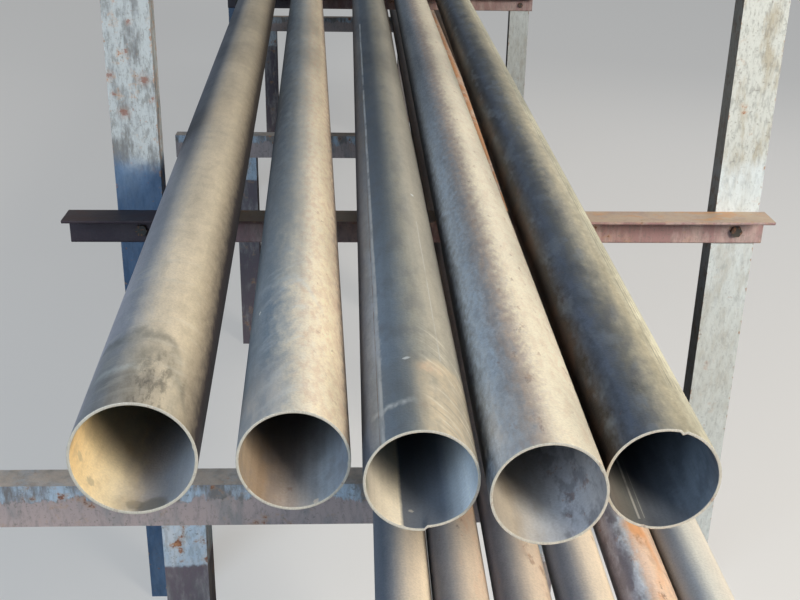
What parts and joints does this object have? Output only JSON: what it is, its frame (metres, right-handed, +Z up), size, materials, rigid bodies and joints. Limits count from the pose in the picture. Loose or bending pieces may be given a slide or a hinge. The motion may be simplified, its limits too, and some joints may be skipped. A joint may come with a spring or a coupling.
{
  "type": "stack of steel tubes on a storage rack",
  "caption": "Long round steel tubes lying side by side on a two-level rack of channel posts, angle beams and low trestles, ends open.",
  "frame": {"origin": "on the floor, under the middle of the whole stack's length and width", "axes": "+Y along the tubes away from their near ends, +X to the right seen from the near ends, +Z up"},
  "size_m": [1.26, 6.3052, 1.45],
  "materials": {
    "large_tube_1_steel": "dull mill finish, warm grey with dark hand marks",
    "large_tube_2_steel": "dull mill finish with a thin film of beige dust",
    "large_tube_3_steel": "dull mill finish with long light scratches",
    "large_tube_4_steel": "dull mill finish with pinkish brown flash rust",
    "large_tube_5_steel": "dark olive mill scale",
    "small_tube_steel": "dull mill finish, dusty",
    "rusty_tube_steel": "mill finish with orange rust and pale patches",
    "rusty_beam": "rusted primer with dust on top",
    "painted_post": "worn whitish blue paint with rust spots",
    "trestle_paint": "worn light blue paint over rust",
    "bolt_steel": "dark rusted steel"
  },
  "bodies": {
    "root": {"large_tube_1": "large_tube_1_steel", "large_tube_2": "large_tube_2_steel", "large_tube_3": "large_tube_3_steel", "large_tube_4": "large_tube_4_steel", "large_tube_5": "large_tube_5_steel", "small_tube_1": "small_tube_steel", "small_tube_2": "small_tube_steel", "small_tube_3": "small_tube_steel", "small_tube_4": "small_tube_steel", "small_tube_5": "rusty_tube_steel", "small_tube_6": "small_tube_steel", "front_beam": "rusty_beam", "front_left_post": "painted_post", "front_right_post": "painted_post", "front_beam_bolts": "bolt_steel", "rear_beam": "rusty_beam", "rear_left_post": "painted_post", "rear_right_post": "painted_post", "rear_beam_bolts": "bolt_steel", "front_trestle_beam": "trestle_paint", "front_trestle_left_leg": "trestle_paint", "front_trestle_right_leg": "trestle_paint", "middle_trestle_beam": "trestle_paint", "middle_trestle_left_leg": "trestle_paint", "middle_trestle_right_leg": "trestle_paint", "rear_trestle_beam": "trestle_paint", "rear_trestle_left_leg": "trestle_paint", "rear_trestle_right_leg": "trestle_paint"}
  },
  "joints": []
}
